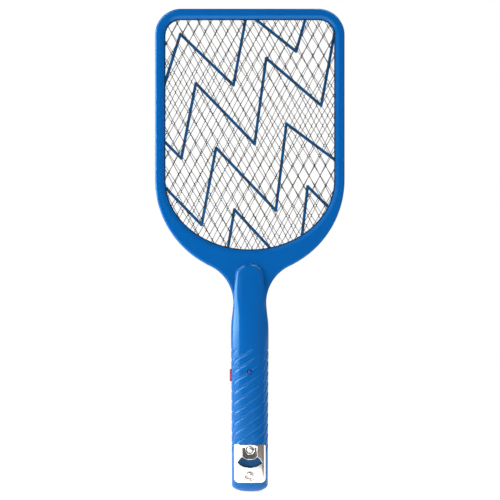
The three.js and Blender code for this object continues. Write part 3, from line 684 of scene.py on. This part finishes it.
def clipped(a, b, reach):
    """Part of a strand that lies inside the clamped rim, or None."""
    keep_a, keep_b = inside_rim(*a, reach), inside_rim(*b, reach)
    if not keep_a and not keep_b:
        return None
    if keep_a and keep_b:
        return a, b
    inner, outer = (np.array(a), np.array(b)) if keep_a else (np.array(b), np.array(a))
    for _ in range(12):
        middle = (inner + outer) / 2
        if inside_rim(*middle, reach):
            inner = middle
        else:
            outer = middle
    end = tuple(inner)
    return (a, end) if keep_a else (end, b)


def add_strand(verts, faces, a, b, near, far, width, twist):
    """Four-sided strand with one edge a little nearer, as slitting and stretching leaves it."""
    a, b = np.array(a), np.array(b)
    along = (b - a) / max(np.hypot(*(b - a)), 1e-6)
    across = np.array([-along[1], along[0]]) * width / 2
    base = len(verts)
    for point in (a, b):
        for sign in (-1, 1):
            x, z = point + sign * across
            lift = twist * sign
            verts.append((x, near + lift, z))
            verts.append((x, far + lift, z))
    faces += [(base, base + 4, base + 6, base + 2), (base + 1, base + 3, base + 7, base + 5),
              (base, base + 1, base + 5, base + 4), (base + 2, base + 6, base + 7, base + 3),
              (base, base + 2, base + 3, base + 1), (base + 4, base + 5, base + 7, base + 6)]


def electrode(name, side, lattice):
    """Expanded metal sheet: a lattice of strands and knots, cut off under the frame's lip."""
    across, up = np.array(lattice["across"]), np.array(lattice["up"])
    origin = np.array(lattice["knot"])
    depth = MESH_NEAR + 0.3
    near = side * (depth - STRAND_THICKNESS / 2)
    far = side * (depth + STRAND_THICKNESS / 2)
    width = STRAND_WIDTHS[0] if side < 0 else STRAND_WIDTHS[1]
    verts, faces = [], []
    reach = 2.3
    for i in range(-20, 21):
        for j in range(-16, 17):
            if (i + j) % 2:
                continue
            knot = origin + across * i / 2 + up * j / 2
            if inside_rim(*knot, reach - 1.5):
                tall = np.array([0, KNOT_HALF_HEIGHT])
                add_strand(verts, faces, knot - tall, knot + tall,
                           near - side * 0.04, far + side * 0.04, width * 1.5, 0)
            for lean in (-1, 1):
                other = knot + (across * lean + up) / 2
                strand = clipped(tuple(knot), tuple(other), reach)
                if strand:
                    add_strand(verts, faces, *strand, near, far, width, 0.05 * lean)
    return new_object(name, verts, faces)


def bevelled_copy(node, name, width, segments=2):
    """A softened copy of a CAD node, to stand in its place."""
    obj = bpy.data.objects.new(name, NODES[node].data.copy())
    bpy.context.scene.collection.objects.link(obj)
    obj.data.materials.clear()
    tidy_mesh(obj, 0.01)
    work = bmesh.new()
    work.from_mesh(obj.data)
    bmesh.ops.dissolve_limit(work, angle_limit=math.radians(1), verts=work.verts, edges=work.edges)
    work.to_mesh(obj.data)
    work.free()
    bevel(obj, width, segments, 30)
    return obj


# ---- cap lifter, screws and trim -----------------------------------------------------------------
def mouth_outline():
    """Lens-shaped mouth, with the rounded tongue hanging into its upper edge."""
    rise = MOUTH_TIP_Z - MOUTH_BOTTOM_Z
    lower = [(s * MOUTH_HALF_WIDTH, MOUTH_BOTTOM_Z + rise * s**2.4) for s in np.linspace(0, 1, 16)]
    span = MOUTH_HALF_WIDTH - TAB_HALF_WIDTH
    climb = NOTCH_TOP_Z - MOUTH_TIP_Z
    upper = [(MOUTH_HALF_WIDTH - span * s, MOUTH_TIP_Z + climb * (1 - (1 - s) ** 1.7))
             for s in np.linspace(0.08, 1, 10)]
    tab = [(TAB_HALF_WIDTH * s, TAB_EDGE_Z + TAB_BULGE * s**2.6) for s in np.linspace(0.97, 0, 12)]
    right = lower + upper + tab
    left = [(-x, z) for x, z in reversed(right[1:-1])]
    return right + left


def lifter_sink(x, z):
    """How far the pressed tongue and the two screw dimples sink into the plate."""
    share = np.clip((z - TAB_EDGE_Z) / (TAB_TOP_Z - TAB_EDGE_Z), 0, 1)
    tilt = TAB_SINK[0] + (TAB_SINK[1] - TAB_SINK[0]) * share
    tab = tilt * smoothstep(TAB_HALF_WIDTH + 0.25, TAB_HALF_WIDTH - 0.35, np.abs(x))
    sink = tab * smoothstep(27, 28, z) * (1 - smoothstep(TAB_TOP_Z - 0.3, TAB_TOP_Z + 0.3, z))
    floor_radius, rim_radius = DIMPLE_RADII
    for screw_z in OPENER_SCREWS_Z:
        radius = np.hypot(x, z - screw_z)
        sink = sink + DIMPLE_SINK * np.clip((rim_radius - radius) / (rim_radius - floor_radius), 0, 1)
    return sink


def cap_lifter():
    """Pressed plate that follows the front shell's skin."""
    holes = [arc(0, z, SCREW_HOLE_R, 0, 345, 23) for z in OPENER_SCREWS_Z]
    obj = slab("cap_lifter_plate", plate_outline(), [mouth_outline()] + holes, 0.55,
               lambda x, z: skin_points(x, z, -1, 0.02 + lifter_sink(x, z), False),
               lambda x, z: skin_points(x, z, -1, PLATE_THICKNESS + lifter_sink(x, z), False))
    bevel(obj, 0.22, 2, 50)
    return obj


def cross_recess(x, z, y_top, depth, reach, side):
    """Two thin blocks that cut a cross into a screw head."""
    low, high = sorted((side * (y_top + 1), side * (y_top - depth)))
    width = 0.42
    return [block("slot", (x - reach, low, z - width), (x + reach, high, z + width)),
            block("slot", (x - width, low, z - reach), (x + width, high, z + reach))]


def lifter_screw(name, z):
    """Domed screw whose head sits on the floor of its dimple."""
    seat = 0.03 + float(lifter_sink(0.0, z)) - float(shell_height(0.0, z))
    profile = [(0, -15.42), (0.9, -15.36), (1.7, -15.18), (2.3, -14.8), (2.6, -14.4), (2.65, -14.0),
               (2.65, seat), (1.45, seat), (1.45, -7.2), (0, -6.4)]
    obj = lathe(name, profile, (0, 0, z))
    cut(obj, cross_recess(0, z, 15.42, 1.8, 1.5, -1))
    return obj


def rear_screw(name, node):
    low, high = cad_box(node)
    x, _, z = node_middle(node)
    radius, top, tip = (high[2] - low[2]) / 2, high[1], low[1]
    shaft = radius * 0.48
    profile = [(0, tip), (shaft, tip + 0.8), (shaft, top - 1.5), (radius, top - 1.5), (radius, top - 1.1),
               (radius * 0.86, top - 0.5), (radius * 0.55, top - 0.1), (0, top)]
    obj = lathe(name, profile, (x, 0, z), steps=32)
    cut(obj, cross_recess(x, z, top, 0.9, radius * 0.55, 1))
    return obj


def push_button():
    """Rounded cap with its inner retaining flange."""
    low, high = BUTTON_LOW, BUTTON_HIGH
    cap = block("power_button_cap", (low[0], -4.0, BUTTON_Z - 6.4), (-15.6, 4.0, BUTTON_Z + 6.4))
    bevel(cap, 1.1, 6)
    flange = block("power_button_flange", (-15.9, low[1], low[2]), (high[0], high[1], high[2]))
    bevel(flange, 0.25, 2)
    return cap, flange


def led_lens():
    """Round epoxy lens with the flange that keeps it behind the shell."""
    profile = [(0, -15.35), (0.9, -15.28), (1.6, -15.05), (2.1, -14.7), (2.4, -14.2), (2.5, -13.6),
               (2.5, -7.8), (2.9, -7.8), (2.9, -6.9), (0, -6.9)]
    return lathe("led_lens", profile, (0, 0, LED_Z))


def battery_door():
    """Cover that follows the rear shell's skin, with three finger ridges."""
    x0, x1, z0, z1 = DOOR_LOW[0], DOOR_HIGH[0], DOOR_LOW[2], DOOR_HIGH[2]
    radius = 1.2
    corners = ((x1 - radius, z0 + radius, -90), (x1 - radius, z1 - radius, 0),
               (x0 + radius, z1 - radius, 90), (x0 + radius, z0 + radius, 180))
    outline = [p for cx, cz, start in corners for p in arc(cx, cz, radius, start, start + 90, 6)]

    def ridges(x, z):
        fade = smoothstep(8.5, 6.5, np.abs(x))
        first, pitch, half = 96.4, 2.6, 0.9
        waves = sum(np.clip(1 - (np.abs(z - first - pitch * i) / half) ** 2, 0, None) for i in range(3))
        return 0.02 + 0.45 * fade * waves

    obj = slab("battery_cover", outline, [], 0.6,
               lambda x, z: skin_points(x, z, 1, ridges(x, z)), lambda x, z: skin_points(x, z, 1, 2.0))
    bevel(obj, 0.3, 2, 50)
    return obj


def dry_cell(name, node, upright):
    low, high = cad_box(node)
    x, y, _ = node_middle(node)
    radius, body = (high[1] - low[1]) / 2, high[2] - low[2] - 1.0
    profile = [(0, 0.15), (4.2, 0.15), (4.5, 0), (radius - 0.7, 0), (radius - 0.15, 0.35),
               (radius - 0.12, 1.0), (radius, 1.15), (radius, body - 1.0), (radius - 0.15, body - 0.8),
               (radius - 0.6, body - 0.1), (radius - 1.0, body), (3.6, body - 0.3), (2.8, body - 0.3),
               (2.7, body + 0.7), (2.4, body + 1), (0, body + 1)]
    if not upright:
        profile = [(r, body + 1 - h) for r, h in reversed(profile)]
    return lathe(name, profile, (x, y, low[2]), axis="Z", steps=64)


# ---- materials -----------------------------------------------------------------------------------
def material(name, colour, roughness, metallic=0.0, grain=(400.0, 0.15), tint=0.06,
             bump=(900.0, 0.04), **extra):
    """Principled surface with object-space noise in its colour, roughness and bump.

    grain is the noise's scale and its share of the roughness; bump is a scale and a strength.
    """
    mat = bpy.data.materials.new(name)
    mat.use_nodes = True
    tree = mat.node_tree
    shader = tree.nodes["Principled BSDF"]
    where = tree.nodes.new("ShaderNodeTexCoord")
    noise = tree.nodes.new("ShaderNodeTexNoise")
    noise.inputs["Scale"].default_value = grain[0]
    noise.inputs["Detail"].default_value = 5
    tree.links.new(where.outputs["Object"], noise.inputs["Vector"])
    ramp = tree.nodes.new("ShaderNodeValToRGB")
    ramp.color_ramp.elements[0].position, ramp.color_ramp.elements[1].position = 0.3, 0.7
    ramp.color_ramp.elements[0].color = [c * (1 - tint) for c in colour] + [1]
    ramp.color_ramp.elements[1].color = [min(1, c * (1 + tint)) for c in colour] + [1]
    tree.links.new(noise.outputs["Fac"], ramp.inputs["Fac"])
    tree.links.new(ramp.outputs["Color"], shader.inputs["Base Color"])
    spread = tree.nodes.new("ShaderNodeMapRange")
    spread.inputs["To Min"].default_value = roughness * (1 - grain[1])
    spread.inputs["To Max"].default_value = roughness * (1 + grain[1])
    tree.links.new(noise.outputs["Fac"], spread.inputs["Value"])
    tree.links.new(spread.outputs["Result"], shader.inputs["Roughness"])
    fine = tree.nodes.new("ShaderNodeTexNoise")
    fine.inputs["Scale"].default_value = bump[0]
    fine.inputs["Detail"].default_value = 3
    tree.links.new(where.outputs["Object"], fine.inputs["Vector"])
    relief = tree.nodes.new("ShaderNodeBump")
    relief.inputs["Strength"].default_value = bump[1]
    relief.inputs["Distance"].default_value = 0.0002
    tree.links.new(fine.outputs["Fac"], relief.inputs["Height"])
    tree.links.new(relief.outputs["Normal"], shader.inputs["Normal"])
    shader.inputs["Metallic"].default_value = metallic
    for socket, value in extra.items():
        shader.inputs[socket.replace("_", " ")].default_value = value
    return mat


LOOKS = {
    "blue_shell": material("blue_plastic", (0.0002, 0.092, 0.345), 0.15, grain=(60.0, 0.08), tint=0.012,
                           bump=(2200.0, 0.02), Specular_IOR_Level=0.5,
                           Specular_Tint=(0.42, 0.88, 1.0, 1)),
    # Darker blue than the shell is painted shade: it stands for the shade that the meshes cast on the
    # spacer's thin ribs.
    "navy_spacer": material("navy_plastic", (0.001, 0.055, 0.18), 0.4, tint=0.03,
                            Specular_Tint=(0.3, 0.85, 1.0, 1)),
    "electrode_steel": material("electrode_steel", (0.055, 0.047, 0.043), 0.42, 0.45, tint=0.25,
                                bump=(1500.0, 0.2)),
    "polished_chrome": material("chrome_plate", (0.83, 0.82, 0.80), 0.09, 1.0, grain=(250.0, 0.35),
                                tint=0.02, bump=(700.0, 0.02)),
    "zinc_steel": material("zinc_steel", (0.5, 0.51, 0.52), 0.32, 1.0, grain=(600.0, 0.3), tint=0.08),
    "red_button": material("red_plastic", (0.27, 0.008, 0.04), 0.3, tint=0.04),
    "black_parts": material("black_plastic", (0.012, 0.012, 0.014), 0.45),
    "led_lens": material("led_epoxy", (0.016, 0.06, 0.27), 0.08, tint=0.05),
    "board_laminate": material("board_laminate", (0.02, 0.14, 0.03), 0.4, tint=0.2, grain=(1800.0, 0.2)),
    "ferrite": material("ferrite", (0.02, 0.02, 0.022), 0.6, tint=0.2),
    "winding_tape": material("winding_tape", (0.55, 0.34, 0.02), 0.25, tint=0.1),
    "film_capacitor": material("film_capacitor", (0.2, 0.015, 0.01), 0.22, tint=0.1),
    "resistor_body": material("resistor_lacquer", (0.52, 0.42, 0.24), 0.35, tint=0.1),
    "cell_jacket": material("cell_jacket", (0.02, 0.03, 0.04), 0.25, tint=0.1),
    "wire_red": material("wire_red", (0.45, 0.02, 0.015), 0.4),
    "wire_black": material("wire_black", (0.015, 0.015, 0.016), 0.4),
}


def dress_cad_nodes():
    for part in frame["record"]["subparts"]:
        mesh = NODES[part["node"]].data
        mesh.materials.clear()
        mesh.materials.append(LOOKS[part["material_slot"]])


def add_piece(obj, slot, body, *nodes, sharp=35):
    obj.data.materials.clear()
    obj.data.materials.append(LOOKS[slot])
    smooth(obj, sharp)
    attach(obj, body)
    if nodes:
        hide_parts(*nodes)
    return obj


# ---- build ---------------------------------------------------------------------------------------
dress_cad_nodes()
front = front_shell()
rear = rear_shell()
for column, opening in screw_columns():
    cut(rear, [opening])
    add_piece(column, "blue_shell", "swatter")
add_piece(front, "blue_shell", "swatter", "front_shell")
add_piece(rear, "blue_shell", "swatter", "rear_shell")
add_piece(electrode("front_electrode", -1, FRONT_LATTICE), "electrode_steel", "swatter", "front_mesh")
add_piece(electrode("rear_electrode", 1, REAR_LATTICE), "electrode_steel", "swatter", "rear_mesh")
add_piece(bevelled_copy("spacer_frame", "zigzag_spacer", 0.45), "navy_spacer", "swatter", "spacer_frame")
add_piece(cap_lifter(), "polished_chrome", "swatter", "bottle_opener", sharp=40)
for i, z in enumerate(OPENER_SCREWS_Z, 1):
    add_piece(lifter_screw(f"lifter_screw_{i}", z), "polished_chrome", "swatter", f"opener_screw_{i}")
for node in HEAD_SCREWS + HANDLE_SCREWS:
    add_piece(rear_screw("turned_" + node, node), "zinc_steel", "swatter", node)
button_cap, button_flange = push_button()
add_piece(button_cap, "red_button", "button", "power_button")
add_piece(button_flange, "red_button", "button")
add_piece(led_lens(), "led_lens", "swatter", "indicator_led")
add_piece(battery_door(), "blue_shell", "battery_cover", "battery_door")
add_piece(dry_cell("cell_left", "battery_1", True), "cell_jacket", "swatter", "battery_1")
add_piece(dry_cell("cell_right", "battery_2", False), "cell_jacket", "swatter", "battery_2")


# ---- stage ---------------------------------------------------------------------------------------
VIEW_MARGIN = 1.03756
AMBIENT = 0.36
MIRRORED = 0.12


def build_floor():
    """Plain pale floor, short in front so that only the foot of the handle mirrors it."""
    bpy.ops.mesh.primitive_plane_add(size=1, location=(0, 1.2, CAD_BOX[0][2] - 0.0003))
    floor = bpy.context.object
    floor.name = "floor"
    floor.scale = (8, 5.2, 1)
    mat = bpy.data.materials.new("floor")
    mat.use_nodes = True
    shader = mat.node_tree.nodes["Principled BSDF"]
    shader.inputs["Base Color"].default_value = (0.9, 0.9, 0.9, 1)
    shader.inputs["Roughness"].default_value = 0.9
    shader.inputs["Specular IOR Level"].default_value = 0.0
    shader.inputs["Emission Color"].default_value = (1, 1, 1, 1)
    shader.inputs["Emission Strength"].default_value = 0.7
    floor.data.materials.append(mat)


def build_world():
    """White to the camera, but dimmer as light and in reflections, so that colours stay deep."""
    world = bpy.data.worlds.new("studio")
    bpy.context.scene.world = world
    world.use_nodes = True
    tree = world.node_tree
    ray = tree.nodes.new("ShaderNodeLightPath")
    shown = tree.nodes["Background"]
    shown.inputs["Strength"].default_value = AMBIENT
    for output, strength in (("Is Glossy Ray", MIRRORED), ("Is Camera Ray", 1.0)):
        layer = tree.nodes.new("ShaderNodeBackground")
        layer.inputs["Strength"].default_value = strength
        mix = tree.nodes.new("ShaderNodeMixShader")
        tree.links.new(ray.outputs[output], mix.inputs["Fac"])
        tree.links.new(shown.outputs[0], mix.inputs[1])
        tree.links.new(layer.outputs["Background"], mix.inputs[2])
        shown = mix
    for node in tree.nodes:
        if node.type == "BACKGROUND":
            node.inputs["Color"].default_value = (1, 1, 1, 1)
    tree.links.new(shown.outputs[0], tree.nodes["World Output"].inputs["Surface"])


def build_card(name, points, colour, strength):
    """Strip that only the chrome and the gloss mirror: two rows of points, lower row first."""
    count = len(points) // 2
    mesh = bpy.data.meshes.new(name)
    mesh.from_pydata(points, [], [(i, i + 1, i + 1 + count, i + count) for i in range(count - 1)])
    card = bpy.data.objects.new(name, mesh)
    bpy.context.scene.collection.objects.link(card)
    mat = bpy.data.materials.new(name)
    mat.use_nodes = True
    shader = mat.node_tree.nodes["Principled BSDF"]
    shader.inputs["Base Color"].default_value = (0, 0, 0, 1)
    shader.inputs["Specular IOR Level"].default_value = 0
    shader.inputs["Emission Color"].default_value = colour
    shader.inputs["Emission Strength"].default_value = strength
    mesh.materials.append(mat)
    card.visible_camera = card.visible_diffuse = card.visible_transmission = card.visible_shadow = False


def build_cards():
    """Warm grey at the front right for the chrome; white above for the nose's rim and the grooves."""
    foot = [(0.13, -0.49), (0.34, -0.26), (0.24, -0.05)]
    build_card("warm_card", [(x, y, z) for z in (0, 0.45) for x, y in foot], (1, 0.82, 0.68, 1), 0.27)
    white = (1, 1, 1, 1)
    right = [(0.1, -0.4, 1.45), (1.5, -0.4, 1.1), (0.1, -0.1, 1.5), (1.5, -0.1, 1.2)]
    left = [(-1.2, -0.8, 0.95), (-0.4, -0.8, 1.3), (-1.2, -0.3, 1.1), (-0.4, -0.3, 1.5)]
    build_card("upper_right_card", right, white, 14)
    build_card("upper_left_card", left, white, 8)


def area_light(name, location, target, size, size_y, power):
    data = bpy.data.lights.new(name, "AREA")
    data.shape = "RECTANGLE"
    data.size, data.size_y = size, size_y
    data.energy = power
    light = bpy.data.objects.new(name, data)
    light.location = location
    light.rotation_euler = (Vector(target) - Vector(location)).to_track_quat("-Z", "Y").to_euler()
    bpy.context.scene.collection.objects.link(light)
    return light


def build_lights():
    area_light("key", (-1.4, -2.2, 1.5), (0, 0, 0.28), 2.0, 2.0, 6)
    area_light("left_softbox", (-1.25, -0.33, 0.48), (0, -0.33, 0.48), 1.75, 0.74, 33)
    area_light("overhead", (0.5, -0.2, 1.7), (0, 0, 0.25), 0.5, 0.5, 8)


def build_camera():
    """Long lens, level, square to the head; the object spans the frame's height with a small margin."""
    data = bpy.data.cameras.new("camera")
    camera = bpy.data.objects.new("camera", data)
    bpy.context.scene.collection.objects.link(camera)
    low, high = (Vector(c) for c in CAD_BOX)
    view_height = (high.z - low.z) * VIEW_MARGIN
    data.sensor_width = 36
    data.lens = 250
    distance = view_height * data.lens / data.sensor_width
    camera.location = (0.0002, -distance, (high.z + low.z) / 2)
    camera.rotation_euler = (math.radians(90), 0, 0)
    data.clip_end = 50
    bpy.context.scene.camera = camera


build_floor()
build_world()
build_cards()
build_lights()
build_camera()
bpy.context.scene.view_settings.view_transform = "Standard"
